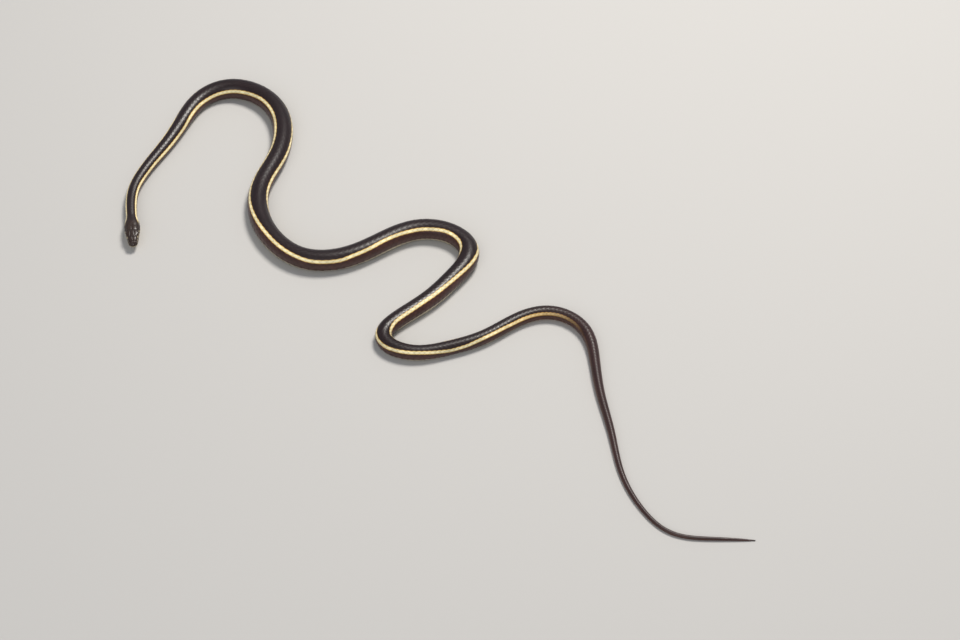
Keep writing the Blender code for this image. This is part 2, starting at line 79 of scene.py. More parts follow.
# Head in millimetres: distance from the snout tip, half width, height of the
# crown, of the chin, and of the widest level, and squareness of the crown.
HEAD = (
    (0.0, 2.6, 4.9, 2.0, 3.6, 2.2),
    (2.0, 3.2, 5.7, 1.3, 3.7, 2.5),
    (5.0, 3.85, 6.7, 0.75, 3.8, 2.9),
    (8.5, 4.5, 7.6, 0.4, 3.9, 3.2),
    (12.0, 5.1, 8.15, 0.15, 3.9, 3.1),
    (17.0, 5.85, 8.6, 0.0, 3.9, 2.7),
    (21.0, 5.95, 8.6, 0.0, 3.8, 2.4),
    (26.0, 5.05, 8.3, 0.0, 3.7, 2.1),
    (30.0, 4.45, 8.01, 0.0, 3.56, 2.0),
)
SNOUT_ROUND = 2.2 * MM
CHIN_ANGLE = math.radians(158)

# Line of the mouth in millimetres: distance from the snout tip and height.
MOUTH = ((-1.0, 2.7), (3.0, 2.6), (8.0, 2.5), (13.0, 2.65), (17.0, 3.15), (20.0, 3.85))
MOUTH_END = 20.6 * MM
MOUTH_DEPTH = 0.55 * MM
MOUTH_WIDE = 0.13 * MM

EYE_RADIUS = 2.0 * MM
EYE_AT = 10.6 * MM
EYE_OUT = 3.3 * MM
EYE_HEIGHT = 5.25 * MM
# The socket in the skin: a hole, a rim level with the ball, and a slope to the cheek.
EYE_HOLE = 1.4 * MM
EYE_RIM = 1.62 * MM
EYE_SLOPE = 2.9 * MM
EYE_HOLE_OUT = 0.3 * MM
RIM_PROUD = 0.04 * MM
BROW = 0.3 * MM
BROW_HEIGHT = 7.2 * MM
BROW_HALF = (2.6 * MM, 0.5 * MM)
CHEEK_HOLLOW = 0.22 * MM
CHEEK_AT = (5.6 * MM, 5.1 * MM)
CHEEK_HALF = (2.2 * MM, 0.9 * MM)
NOSTRIL_DEPTH = 0.5 * MM
NOSTRIL_AT = 1.95 * MM
NOSTRIL_HEIGHT = 4.6 * MM
NOSTRIL_RADIUS = 0.34 * MM

SKIN_DEPTH = 0.35 * MM
HEAD_SKIN_DEPTH = 0.08 * MM
# How far the back is turned about the spine, in degrees: above 0 its left side is up.
ROLL = (
    (0, 0), (60, -2), (81, -9), (92, -6), (102, -8), (120, -10), (134, -8), (145, 1), (151, 3),
    (160, 1.5), (174, -4.5), (188, -5), (206, -1.5), (220, 5), (234, 12.5), (257, 16), (276, 15),
    (291, 14), (310, 9.5), (323, 5.5), (335, 5.5), (348, 9), (360, 17.5), (372, 25), (388, 30.5),
    (401, 28), (417, 21), (432, 9.5), (449, 7.3), (460, 16), (474, 20.5), (486, 25), (498, 22.5),
    (511, 17.5), (526, 18), (543, 23.5), (556, 19), (566, 9), (577, -8), (590, -17), (605, -24.5),
    (618, -30), (630, -31.5), (648, -27), (658, -25), (666, -14), (674, -1), (685, 5), (697, 15),
    (707, 19.3), (719, 9), (731, -3.5), (741, 0), (751, 12), (761, 18), (772, 16), (782, 10.3),
    (797, 10), (811, 7.5), (824, 8), (876, 0), (1097, 0),
)


def smooth(value):
    """0 below 0, 1 above 1, and the curve 3 u^2 - 2 u^3 between them."""
    value = np.clip(value, 0, 1)
    return value * value * (3 - 2 * value)


def ease(stations, at):
    """Smooth curve through rows of (distance, value, ...), with no overshoot:
    each piece is a cubic whose slopes are the harmonic mean of its neighbours'."""
    rows = np.array(stations, float)
    x, values = rows[:, 0], rows[:, 1:]
    step = np.diff(x)[:, None]
    rise = np.diff(values, axis=0) / step
    slope = np.zeros_like(values)
    same_way = rise[1:] * rise[:-1] > 0
    mean = 2 * rise[1:] * rise[:-1] / np.where(same_way, rise[1:] + rise[:-1], 1.0)
    slope[1:-1] = np.where(same_way, mean, 0.0)
    slope[0], slope[-1] = rise[0], rise[-1]
    at = np.clip(np.atleast_1d(at), x[0], x[-1])
    i = np.clip(np.searchsorted(x, at) - 1, 0, len(step) - 1)
    u = ((at - x[i])[:, None]) / step[i]
    return (
        values[i] * (1 + 2 * u) * (1 - u) ** 2
        + values[i + 1] * u**2 * (3 - 2 * u)
        + step[i] * (slope[i] * u * (1 - u) ** 2 - slope[i + 1] * u**2 * (1 - u))
    )


def spline(points, count):
    """Natural cubic spline through the points, with chord length as its parameter."""
    t = np.concatenate([[0.0], np.cumsum(np.hypot(*np.diff(points, axis=0).T))])
    h = np.diff(t)
    last = len(points) - 1
    system = np.eye(last + 1)
    bend = np.zeros((last + 1, 2))
    for i in range(1, last):
        system[i, i - 1 : i + 2] = h[i - 1], 2 * (h[i - 1] + h[i]), h[i]
        ahead = (points[i + 1] - points[i]) / h[i]
        bend[i] = 6 * (ahead - (points[i] - points[i - 1]) / h[i - 1])
    bend = np.linalg.solve(system, bend)
    u = np.linspace(0.0, t[-1], count)
    i = np.clip(np.searchsorted(t, u) - 1, 0, last - 1)
    b = ((u - t[i]) / h[i])[:, None]
    a = 1 - b
    sag = ((a**3 - a) * bend[i] + (b**3 - b) * bend[i + 1]) * (h[i] ** 2)[:, None] / 6
    return a * points[i] + b * points[i + 1] + sag


def even_steps(path, step):
    """The same path with its points a step apart."""
    length = np.concatenate([[0.0], np.cumsum(np.hypot(*np.diff(path, axis=0).T))])
    at = np.linspace(0.0, length[-1], int(round(length[-1] / step)) + 1)
    return np.stack([np.interp(at, length, path[:, k]) for k in (0, 1)], 1)


def spine_path():
    """Spine from the snout tip: a straight head, then the rounded route of the
    body, in points SPINE_STEP apart."""
    body = spline(np.array(SPINE, float) * MM, 1200)
    body = even_steps(body, SPINE_STEP)
    reach = int(3 * SPINE_ROUNDING / SPINE_STEP)
    weight = np.exp(-0.5 * (np.arange(-reach, reach + 1) * SPINE_STEP / SPINE_ROUNDING) ** 2)
    before = 2 * body[0] - body[reach:0:-1]
    after = 2 * body[-1] - body[-2 : -reach - 2 : -1]
    longer = np.vstack([before, body, after])
    body = np.stack(
        [np.convolve(longer[:, k], weight / weight.sum(), "valid") for k in (0, 1)], 1
    )
    forward = (body[0] - body[1]) / np.hypot(*(body[0] - body[1]))
    ahead = np.arange(HEAD_LENGTH, 0, -SPINE_STEP)[:, None]
    return even_steps(np.vstack([body[0] + forward * ahead, body]), SPINE_STEP)


PATH = spine_path()
LENGTH = (len(PATH) - 1) * SPINE_STEP
HEADING = np.gradient(PATH, SPINE_STEP, axis=0)
HEADING /= np.hypot(*HEADING.T)[:, None]


def along(values, s):
    """Values kept at every SPINE_STEP, read at the distances s."""
    at = np.arange(len(values)) * SPINE_STEP
    return np.stack([np.interp(s, at, values[:, k]) for k in range(values.shape[1])], 1)


def read(stations, s):
    """One value read off a table by distance in millimetres, for any array of s."""
    return ease(stations, np.ravel(s) / MM)[:, 0].reshape(np.shape(s))


def girth(s):
    """Half width of the body at s, with no head."""
    return read(GIRTH, s) * MM


def section(s):
    """Half width, height above and depth below the widest level, the floor of the
    belly, that level, and the powers of the crown's and the chin's roundness."""
    half = girth(s)
    body = np.stack([half, BODY_TOP * half, 0 * half, BODY_MID * half, 2 + 0 * half], 1)
    head = ease(HEAD, s / MM)
    head[:, :4] *= MM
    half, top, bottom, mid, square = np.where((s < HEAD_LENGTH)[:, None], head, body).T
    belly = np.interp(s, (0.5 * HEAD_LENGTH, HEAD_LENGTH), (CHIN_ANGLE, BELLY_ANGLE))
    round_off = np.sqrt(1 - np.clip(1 - s / SNOUT_ROUND, 0, 1) ** 2)
    chin = 2 / (1 + square / 2)
    deep = (mid - bottom) * round_off / np.abs(np.cos(belly)) ** chin
    bottom = mid + (bottom - mid) * round_off
    return half * round_off, (top - mid) * round_off, deep, bottom, mid, 2 / square, chin


def face(s, out, height):
    """How far the side of the face stands out of its plain section: a socket round the
    eye, a brow over it, and a hollow cheek in front of it."""
    near = np.hypot(s - EYE_AT, height - EYE_HEIGHT)
    rim_out = EYE_OUT + math.sqrt(EYE_RADIUS**2 - EYE_RIM**2) + RIM_PROUD
    to_rim = 1 - smooth((near - EYE_RIM) / (EYE_SLOPE - EYE_RIM))
    to_hole = 1 - smooth((near - EYE_HOLE) / (EYE_RIM - EYE_HOLE))
    moved = out + to_rim * (rim_out - out)
    moved += to_hole * (EYE_OUT + EYE_HOLE_OUT - moved)
    lengthwise, upwards = (s - EYE_AT) / BROW_HALF[0], (height - BROW_HEIGHT) / BROW_HALF[1]
    moved += BROW * np.exp(-(upwards**2) - lengthwise**4)
    cheek = ((s - CHEEK_AT[0]) / CHEEK_HALF[0]) ** 2
    cheek += ((height - CHEEK_AT[1]) / CHEEK_HALF[1]) ** 2
    return moved - out - CHEEK_HOLLOW * np.exp(-cheek)


def flesh(s, angle):
    """Points at distances s and angles from the mid-back, left positive. Each section
    is a superellipse about its widest level, cut off level below."""
    s, angle = np.broadcast_arrays(np.asarray(s, float), np.asarray(angle, float))
    grid, s, angle = s.shape, s.ravel(), angle.ravel()
    half, high, deep, bottom, mid, crown, chin = section(s)
    above = np.cos(angle) > 0
    power = np.where(above, crown, chin)
    across = half * np.abs(np.sin(angle)) ** power
    height = mid + np.where(above, high, -deep) * np.abs(np.cos(angle)) ** power
    height = np.maximum(height, bottom)
    level = smooth((height - 2.9 * MM) / (0.8 * MM)) * smooth((across - 1.5 * MM) / MM)
    across += np.where(s < HEAD_LENGTH, level * face(s, across, height), 0.0)
    across *= np.sign(np.sin(angle))
    height += HEAD_LIFT * smooth((LIFT_ENDS - s) / (LIFT_ENDS - HEAD_LENGTH))
    place, heading = along(PATH, s), along(HEADING, s)
    left = np.stack([heading[:, 1], -heading[:, 0]], 1)
    return np.column_stack([place + left * across[:, None], height]).reshape(grid + (3,))


def raised(s, angle, rise):
    """Points at a height above the flesh, or below it, along its normal, and never
    under the floor."""
    step, turn = 0.12 * MM, 0.025
    back = flesh(s + step, angle) - flesh(np.maximum(s - step, 0), angle)
    round_left = flesh(s, angle + turn) - flesh(s, angle - turn)
    normal = np.cross(round_left, back)
    normal /= np.linalg.norm(normal, axis=-1, keepdims=True) + 1e-12
    points = flesh(s, angle) + normal * np.asarray(rise)[..., None]
    points[..., 2] = np.maximum(points[..., 2], 0)
    return points


def centre_of_box():
    """Middle of the animal's outline seen from above, which the frame has at its origin."""
    s = np.linspace(0, LENGTH, 1500)
    outline = np.vstack([flesh(s, side * math.pi / 2)[:, :2] for side in (-1, 1)])
    return (outline.min(0) + outline.max(0)) / 2


CENTRE = centre_of_box()
PATH -= CENTRE


def thin(s):
    """Share of the full thickness that skin and scales keep: less on the thin tail."""
    return np.clip(girth(s) / (4 * MM), 0.22, 1)


def skin_depth(s):
    """Depth of the skin under the flesh's outline: thin on the head, full from the neck."""
    body = SKIN_DEPTH * thin(s)
    return body + (HEAD_SKIN_DEPTH - body) * (1 - smooth((s - 17 * MM) / (12 * MM)))


def turned(s):
    """Angle of the mid-back to the right of straight up, from ROLL, in radians."""
    return np.radians(read(ROLL, s))


def mouth_height(s):
    """Height of the mouth's line above the chin's level, with no lift."""
    return read(MOUTH, s) * MM


def side_height(s, angle):
    """Height above the chin's level of points of the head, with no lift."""
    _, high, deep, _, mid, crown, chin = (v.reshape(np.shape(s)) for v in section(np.ravel(s)))
    cosine = np.cos(angle)
    return mid + np.where(cosine > 0, high, -deep) * np.abs(cosine) ** np.where(cosine > 0, crown, chin)


def skin_columns(s):
    """Angles of the skin's columns on every ring: close together along the mouth line,
    which eases to a plain line of the side behind the head, and even elsewhere."""
    share = (section(s)[4] - mouth_height(s)) / section(s)[2]
    mouth = math.pi - np.arccos(np.clip(share, 0, 1) ** (1 / section(s)[6]))
    mouth = np.clip(mouth, math.radians(95), math.radians(150))
    behind = smooth((s - 20 * MM) / (10 * MM))
    mouth += (math.radians(105) - mouth) * behind
    apart = np.radians(0.9 + 1.9 * behind)
    upper = np.linspace(0, 1, 31)[None] * (mouth - 4 * apart)[:, None]
    middle = mouth[:, None] + apart[:, None] * np.arange(-3, 4)[None]
    lower = (mouth + 4 * apart)[:, None]
    lower = lower + (math.pi - lower) * np.linspace(0, 1, 22)[None]
    left = np.hstack([upper, middle, lower])
    return np.hstack([left, -left[:, -2:0:-1]])


# Height of the upper edge of the lip's cream at distances from the snout tip, and the
# pale spots: distance, height, half length, half height and share of cream.
LIP_LINE = ((0, 3.3), (3, 3.5), (9, 3.3), (12, 3.3), (14.5, 4.1), (20, 4.4))
LIP_BLUR = 0.25
PALE_SPOTS = (
    (7.2, 5.6, 0.75, 0.85, 0.8), (13.3, 5.5, 0.5, 0.8, 0.75), (4.6, 5.0, 0.8, 0.5, 0.45),
    (2.6, 4.6, 0.45, 0.45, 0.3), (7.2, 4.3, 0.8, 0.2, 0.5),
)


def pale(s, angle):
    """Share of cream in the head's markings: lips and chin, and spots on the scales
    before, behind and in front of the eye."""
    height = side_height(s, angle)
    lip = np.interp(s / MM, *zip(*LIP_LINE))
    share = smooth((lip + LIP_BLUR - height / MM) / (2 * LIP_BLUR))
    for at, up, long, tall, amount in PALE_SPOTS:
        spot = ((s / MM - at) / long) ** 2 + ((height / MM - up) / tall) ** 2
        share = np.maximum(share, amount * np.exp(-(spot**2)))
    return share


UNWRAP_STRIPS = 4
UNWRAP_MARGIN = 0.01


def strip_of(s):
    """Number of the strip that a face at s lies in."""
    return np.minimum((s / LENGTH * UNWRAP_STRIPS).astype(int), UNWRAP_STRIPS - 1)


def unwrap(s, angle, strip, cut=-math.pi):
    """The skin's own shape laid flat: length runs across, the way round runs up, in
    strips one above another. The way round is cut open at the angle given."""
    share = s / LENGTH * UNWRAP_STRIPS - strip
    turn = (angle - cut) / (2 * math.pi)
    u = UNWRAP_MARGIN + (1 - 2 * UNWRAP_MARGIN) * share
    v = (strip + UNWRAP_MARGIN + (1 - 2 * UNWRAP_MARGIN) * turn) / UNWRAP_STRIPS
    return np.stack(np.broadcast_arrays(u, v), -1)


def ring_quads(rows, sides):
    """Faces between closed rings of points, one ring after another, as four columns of
    numbers: this point, the next of its ring, the next ring's, and that below this."""
    row, k = np.meshgrid(np.arange(rows), np.arange(sides), indexing="ij")
    row, k = row.ravel() * sides, k.ravel()
    n = (k + 1) % sides
    return np.stack([row + k, row + n, row + sides + n, row + sides + k], 1)


def make_piece(name, points, faces, corner_uv, marks, material, sharp=None):
    """A mesh object on the body, from arrays: points, faces of one size in each array,
    the map place of each face corner, and the markings of each point."""
    mesh = bpy.data.meshes.new(name)
    mesh.vertices.add(len(points))
    mesh.vertices.foreach_set("co", np.asarray(points, np.float32).ravel())
    corners = np.concatenate([f.ravel() for f in faces]).astype(np.int32)
    sizes = np.concatenate([np.full(len(f), f.shape[1]) for f in faces])
    mesh.loops.add(len(corners))
    mesh.loops.foreach_set("vertex_index", corners)
    mesh.polygons.add(len(sizes))
    starts = np.concatenate([[0], np.cumsum(sizes)[:-1]])
    mesh.polygons.foreach_set("loop_start", starts.astype(np.int32))
    mesh.update(calc_edges=True)
    uv = mesh.uv_layers.new(name="OFBake")
    uv.data.foreach_set("uv", np.asarray(corner_uv, np.float32).ravel())
    for mark, values in marks.items():
        attribute = mesh.attributes.new(mark, "FLOAT", "POINT")
        attribute.data.foreach_set("value", np.asarray(values, np.float32).ravel())
    mesh.validate()
    mesh.shade_smooth()
    if sharp:
        mesh.set_sharp_from_angle(angle=math.radians(sharp))
    mesh.materials.append(material)
    piece = bpy.data.objects.new(name, mesh)
    bpy.context.scene.collection.objects.link(piece)
    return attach(piece, "root")


# The stripe's middle in degrees from the mid-back, the half width of body that the
# body's colours are given for, and the limits and reach of their stretch elsewhere.
STRIPE_AT = 59.1
STRIPE_GIRTH = 7.1 * MM
STRIPE_STRETCH = (0.8, 1.22)
STRIPE_REACH = 25


def marks_at(s, turn, tone=0.5, rim=0.0, head_angle=None):
    """Markings of points: distance in millimetres, degrees from the mid-back, the
    head's cream, the scale's own random lightness, which on the skin also carries painted
    shade in the mouth's groove and the nostril pits, and how near its edge a point lies.
    Degrees near the stripe are stretched by the girth, so that the stripe keeps its width."""
    turn = np.abs((turn + math.pi) % (2 * math.pi) - math.pi)
    head_angle = turn if head_angle is None else head_angle
    wider = np.clip(girth(s) / STRIPE_GIRTH, *STRIPE_STRETCH) - 1
    from_stripe = np.degrees(turn) - STRIPE_AT
    from_stripe *= 1 + wider * np.exp(-((from_stripe / STRIPE_REACH) ** 2))
    return {
        "along": s / MM,
        "turn": STRIPE_AT + from_stripe,
        "pale": pale(s, np.minimum(head_angle, math.pi)),
        "tone": np.broadcast_to(tone, np.shape(s)),
        "rim": np.broadcast_to(rim, np.shape(s)),
    }


# Colours, with the degrees from the mid-back at which each stands.
BACK = (0.0150, 0.0070, 0.0078)
STRIPE_EDGE = (0.22, 0.085, 0.018)
STRIPE_RIM = (0.84, 0.57, 0.15)
STRIPE = (0.94, 0.84, 0.52)
LOWER_SIDE = (0.060, 0.0225, 0.0185)
LOWEST_SIDE = (0.074, 0.033, 0.027)
BELLY = (0.50, 0.44, 0.31)
BODY_COLOURS = (
    (0, BACK), (46.2, BACK), (47.6, STRIPE_EDGE), (49.8, STRIPE_RIM), (54.0, STRIPE),
    (64.0, STRIPE), (68.4, STRIPE_RIM), (70.6, STRIPE_EDGE), (72.4, LOWER_SIDE),
    (110, LOWEST_SIDE), (121, LOWEST_SIDE), (128, BELLY), (180, BELLY),
)
TAIL_COLOURS = (
    (0, (0.036, 0.0155, 0.0145)), (48, (0.036, 0.0155, 0.0145)), (60, (0.082, 0.034, 0.019)),
    (80, (0.062, 0.0245, 0.019)), (118, (0.090, 0.038, 0.027)), (130, (0.42, 0.25, 0.17)),
    (180, (0.46, 0.29, 0.21)),
)
BETWEEN_SCALES = (0.008, 0.005, 0.005)
# What the body's colours are multiplied by where the stripe turns orange, and the
# distances in millimetres over which head, body, that and the tail take over.
WARMER = (1.0, 0.79, 0.54)
BODY_FROM = (18.5, 27)
WARMER_FROM = (750, 820)
TAIL_FROM = (785, 855)
HEAD_BROWN = (0.032, 0.0180, 0.0130)
HEAD_CREAM = (0.60, 0.50, 0.30)


class Shading:
    """A Principled material and the nodes that work its colour out."""

    def __init__(self, name):
        self.material = bpy.data.materials.new(name)
        self.material.use_nodes = True
        self.nodes, self.links = self.material.node_tree.nodes, self.material.node_tree.links
        self.shader = self.nodes["Principled BSDF"]

    def mark(self, attribute):
        """A marking that the mesh keeps at its points."""
        node = self.nodes.new("ShaderNodeAttribute")
        node.attribute_name = attribute
        return node.outputs["Fac"]

    def noise(self, scale, detail=2.0):
        """Soft noise in space, with so many waves to the metre."""
        node = self.nodes.new("ShaderNodeTexNoise")
        node.inputs["Scale"].default_value = scale
        node.inputs["Detail"].default_value = detail
        place = self.nodes.new("ShaderNodeTexCoord").outputs["Object"]
        self.links.new(place, node.inputs["Vector"])
        return node.outputs["Fac"]

    def span(self, value, start, end, low=0.0, high=1.0, curve="SMOOTHSTEP"):
        """The value carried from one range over to another."""
        node = self.nodes.new("ShaderNodeMapRange")
        node.interpolation_type = curve
        self.links.new(value, node.inputs["Value"])
        node.inputs["From Min"].default_value = start
        node.inputs["From Max"].default_value = end
        node.inputs["To Min"].default_value = low
        node.inputs["To Max"].default_value = high
        return node.outputs["Result"]

    def ramp(self, value, colours, widest=180.0):
        """The colours by the degrees at which each stands, up to the widest."""
        scaled = self.nodes.new("ShaderNodeMath")
        scaled.operation = "DIVIDE"
        self.links.new(value, scaled.inputs[0])
        scaled.inputs[1].default_value = widest
        node = self.nodes.new("ShaderNodeValToRGB")
        stops = node.color_ramp.elements
        while len(stops) < len(colours):
            stops.new(0.5)
        for k, (at, colour) in enumerate(colours):
            stops[k].position = at / widest
            stops[k].color = (*colour, 1)
        self.links.new(scaled.outputs[0], node.inputs["Fac"])
        return node.outputs["Color"]

    def mix(self, share, first, second, how="MIX"):
        """Two colours mixed, each a node's output, a number or a colour."""
        node = self.nodes.new("ShaderNodeMix")
        node.data_type = "RGBA"
        node.blend_type = how
        for socket, value in ((0, share), (6, first), (7, second)):
            if isinstance(value, (int, float)):
                node.inputs[socket].default_value = value
            elif isinstance(value, tuple):
                node.inputs[socket].default_value = (*value, 1)
            else:
                self.links.new(value, node.inputs[socket])
        return node.outputs[2]

    def feed(self, socket, value):
        self.links.new(value, self.shader.inputs[socket])

    def set(self, **values):
        """Plain values for the shader's sockets, named with _ for a space."""
        for socket, value in values.items():
            self.shader.inputs[socket.replace("_", " ")].default_value = value
        return self.material


def hide_material(name, roughness, between=0.0):
    """Snake hide. Length and the way round pick the body's and the tail's colours, the
    head has its own, every scale differs a little and darkens to its edge, and the
    skin has painted shade in the mouth's groove and the nostril pits."""
    shade = Shading(name)
    span, mix, noise = shade.span, shade.mix, shade.noise
    length, turn = shade.mark("along"), shade.mark("turn")
    body = shade.ramp(turn, BODY_COLOURS)
    body = mix(span(length, *WARMER_FROM), body, mix(1.0, body, WARMER, "MULTIPLY"))
    colour = mix(span(length, *TAIL_FROM), body, shade.ramp(turn, TAIL_COLOURS))
    head = mix(shade.mark("pale"), HEAD_BROWN, HEAD_CREAM)
    colour = mix(span(length, *BODY_FROM), head, colour)
    for factor in (
        # Each scale's own random lightness; on the skin it also carries painted shade in the mouth's
        # groove and the nostril pits.
        span(shade.mark("tone"), 0, 1, 0.86, 1.14),
        span(noise(70), 0.3, 0.7, 0.9, 1.1),
        span(shade.mark("rim"), 0.35, 1, 1.0, 0.72),
    ):
        colour = mix(1.0, colour, factor, "MULTIPLY")
    if between:
        colour = mix(between, colour, BETWEEN_SCALES)
    shade.feed("Base Color", colour)
    shade.feed("Roughness", span(noise(900), 0.3, 0.7, roughness - 0.05, roughness + 0.07))
    bump = shade.nodes.new("ShaderNodeBump")
    bump.inputs["Strength"].default_value = 0.12
    bump.inputs["Distance"].default_value = 0.05 * MM
    shade.links.new(noise(2600, 3), bump.inputs["Height"])
    shade.feed("Normal", bump.outputs["Normal"])
    return shade.set(
        Specular_IOR_Level=0.4, Sheen_Weight=0.08, Sheen_Roughness=0.35,
        Sheen_Tint=(0.70, 0.74, 1.0, 1),
    )


def build_skin():
    """Rings of the same columns from the snout to the tail tip, each end closed in a
    point, with the mouth's line and the nostrils pressed in."""
    snout = SNOUT_ROUND * (1 - np.cos(np.linspace(0.1, math.pi / 2, 13)))
    head = np.arange(SNOUT_ROUND, HEAD_LENGTH, 0.2 * MM)[1:]
    body = np.arange(HEAD_LENGTH, 1040 * MM, 2.05 * MM)
    tail = np.linspace(1040 * MM, LENGTH, 58)
    rings = np.concatenate([snout, head, body[:-1], tail])
    angle = skin_columns(rings)
    s = np.repeat(rings[:, None], angle.shape[1], 1)
    height = side_height(s, angle)
    groove = np.exp(-(((height - mouth_height(s)) / MOUTH_WIDE) ** 2))
    groove *= (np.cos(angle) < 0) * smooth((MOUTH_END - s) / (1.2 * MM)) * MOUTH_DEPTH
    nostril = np.hypot(s - NOSTRIL_AT, height - NOSTRIL_HEIGHT) / NOSTRIL_RADIUS
    pit = NOSTRIL_DEPTH * np.exp(-(nostril**2)) * (np.cos(angle) > 0)
    depth = skin_depth(s) + groove + pit
    points = raised(s, angle, -depth)
    count, sides = s.shape
    ends = points[[0, -1]].mean(1)
    # Painted shade: the skin's colour is darkened in the mouth's groove and the nostril pits, where
    # this value drops below one half.
    pit_shade = 0.5 - 0.5 * np.maximum(groove / MOUTH_DEPTH, pit / NOSTRIL_DEPTH)

    quads = ring_quads(count - 1, sides)[:, ::-1]
    ring, column = quads[:, 3] // sides, quads[:, 3] % sides
    k = np.arange(sides)
    n = (k + 1) % sides
    last = (count - 1) * sides
    first = np.stack([k, np.full(sides, count * sides), n], 1)
    final = np.stack([np.full(sides, count * sides + 1), last + n, last + k], 1)

    round_up = np.arange(sides + 1) / sides * 2 * math.pi
    strip = strip_of(rings[ring])
    quad_uv = np.stack([
        unwrap(rings[ring + i], round_up[column + j], strip, 0.0)
        for i, j in ((1, 0), (1, 1), (0, 1), (0, 0))
    ], 1)
    first_uv = np.stack([
        unwrap(at, round_up[k + j], 0, 0.0)
        for at, j in ((rings[0], 0), (0 * rings[0], 0), (rings[0], 1))
    ], 1)
    final_uv = np.stack([
        unwrap(at, round_up[k + j], UNWRAP_STRIPS - 1, 0.0)
        for at, j in ((rings[-1], 0), (rings[-2], 1), (rings[-2], 0))
    ], 1)
    corner_uv = np.concatenate([v.reshape(-1, 2) for v in (quad_uv, first_uv, final_uv)])

    marks = marks_at(s, angle + turned(s), pit_shade, 0.0, np.abs(angle))
    marks = {k: np.append(np.ravel(v), [np.mean(v[0]), np.mean(v[-1])]) for k, v in marks.items()}
    points = np.vstack([points.reshape(-1, 3), ends])
    return make_piece("skin", points, [quads, first, final], corner_uv, marks,
                      hide_material("skin between the scales", 0.5, 0.55))


skin = build_skin()
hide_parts(*[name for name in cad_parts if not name.startswith("eye")])

# The scales of the back and sides. Smooth, glossy plates of horn in seventeen rows that
# fall to five on the tail, each a rounded lozenge sunk in front and free behind, where
# it lies over the next. They are set on a lattice that follows the length and the girth.

SCALE_ROWS = 9
SCALE_LONG = 0.69
SCALE_WIDE = 0.88
SCALE_ROUND = 1.5
SCALE_RISE = 0.36 * MM
SCALE_CROWN = 0.10 * MM
SCALE_ROOT = 0.05 * MM
SCALE_UNDER = -0.12 * MM
SCALE_POINTS = 26
END_CLEAR = 0.5 * MM
ROWS_LOST = (((5, 6), 680), ((3, 4), 840), ((1, 2), 985))
ROWS_FADE = 40
# Where the scales start behind the head's shields, by degrees from the mid-back, and
# the degrees under the jaw where the lower lip's shields end, by distance.
SCALES_START = ((0, 19.2), (22, 18.8), (45, 18.6), (62, 20.0), (90, 20.8), (118, 20.9))
JAW_EDGE = ((12, 137), (14, 132), (18.6, 119), (20.5, 112))
NARROWEST = 0.35
MAP_SHRINK = 0.6
# Share by which the stripe is wider at a scale's middle than at its ends, the part of
# the half length where it is neither, and the reach from the stripe's middle.
SCALLOP = 0.34
SCALLOP_LEVEL = 0.4
SCALLOP_REACH = 0.35
draw = np.random.default_rng(17)


def pitch(s):
    """Distance from one scale to the next of its row."""
    return 0.9 * MM + 0.46 * girth(s)


FINE = np.arange(0, LENGTH, 0.25 * MM)
COUNT = np.concatenate([[0], np.cumsum(0.25 * MM / pitch(FINE[:-1] + 0.125 * MM))])


def scute_edge(s):
    """Angle from the mid-back where the scales end and the belly's scutes begin: far
    under the throat, then on the lower side."""
    return np.radians(150 - 37 * smooth((s - 20 * MM) / (45 * MM)))


def row_place(s, row):
    """Angle of a row's middle and half the row's width at s. Rows widen to the belly,
    and pairs of them narrow to nothing where the body gets slim."""
    weight = np.repeat((0.75 + 0.06 * np.arange(SCALE_ROWS))[None], s.size, 0)
    for lost, where in ROWS_LOST:
        weight[:, lost] *= smooth((where + ROWS_FADE / 2 - s.ravel() / MM) / ROWS_FADE)[:, None]
    upto = np.cumsum(weight, 1) - weight[:, :1] / 2
    pick = np.arange(s.size), np.broadcast_to(row, s.shape).ravel()
    unit = scute_edge(s.ravel()) / upto[:, -1]
    middle = np.where(pick[1] == 0, 0, upto[pick] - weight[pick] / 2) * unit
    return middle.reshape(s.shape), (weight[pick] / 2 * unit).reshape(s.shape)


def scale_template():
    """A lozenge as a grid of 5 by 5 turned by 45 degrees, its sides bulged to a
    superellipse, in shares of its half length and half width, with its faces."""
    p, q = np.meshgrid(np.linspace(-1, 1, 5), np.linspace(-1, 1, 5), indexing="ij")
    x, y = ((p + q) / 2).ravel(), ((p - q) / 2).ravel()
    size = np.maximum(np.hypot(x, y), 1e-9)
    c, n = np.abs(x) / size, np.maximum(np.abs(y) / size, 1e-9)
    bulge = (c + n) / (c**SCALE_ROUND + n**SCALE_ROUND) ** (1 / SCALE_ROUND)
    number = np.arange(25).reshape(5, 5)
    quads = np.stack([number[:-1, :-1], number[1:, :-1], number[1:, 1:], number[:-1, 1:]], -1)
    rim = np.concatenate([number[:, 0], number[-1, 1:], number[-2::-1, -1], number[0, -2:0:-1]])
    under = np.stack([np.roll(rim, -1), rim, np.full(16, 25)], 1)
    edge = np.isin(np.arange(26), rim).astype(float)
    return np.append(x * bulge, 0), np.append(y * bulge, 0), quads.reshape(-1, 4), under, edge


def jaw_edge(s):
    """Angle under the jaw where the lower lip's shields end."""
    return np.radians(np.interp(s / MM, *zip(*JAW_EDGE)))


def scale_places():
    """Middle, row and side of every scale: alternate rows are half a pitch apart, and
    those that the head's shields cover are left out."""
    places = []
    for row in range(SCALE_ROWS):
        column = np.arange(1, COUNT[-1] - 0.5) + 0.5 * (row % 2)
        s = np.interp(column, COUNT, FINE)
        middle, half = row_place(s, row)
        start = np.interp(np.degrees(middle), *zip(*SCALES_START)) * MM
        throat = (s > 13 * MM) & (middle > jaw_edge(s) + np.radians(4))
        wide = half / (scute_edge(s) / 22)
        keep = ((s > start) | throat) & (wide > NARROWEST) & (s < LENGTH - 3 * MM)
        for side in ((1, -1) if row else (1,)):
            places.append(np.stack([s[keep], np.full(keep.sum(), row), np.full(keep.sum(), side)], 1))
    return np.vstack(places)


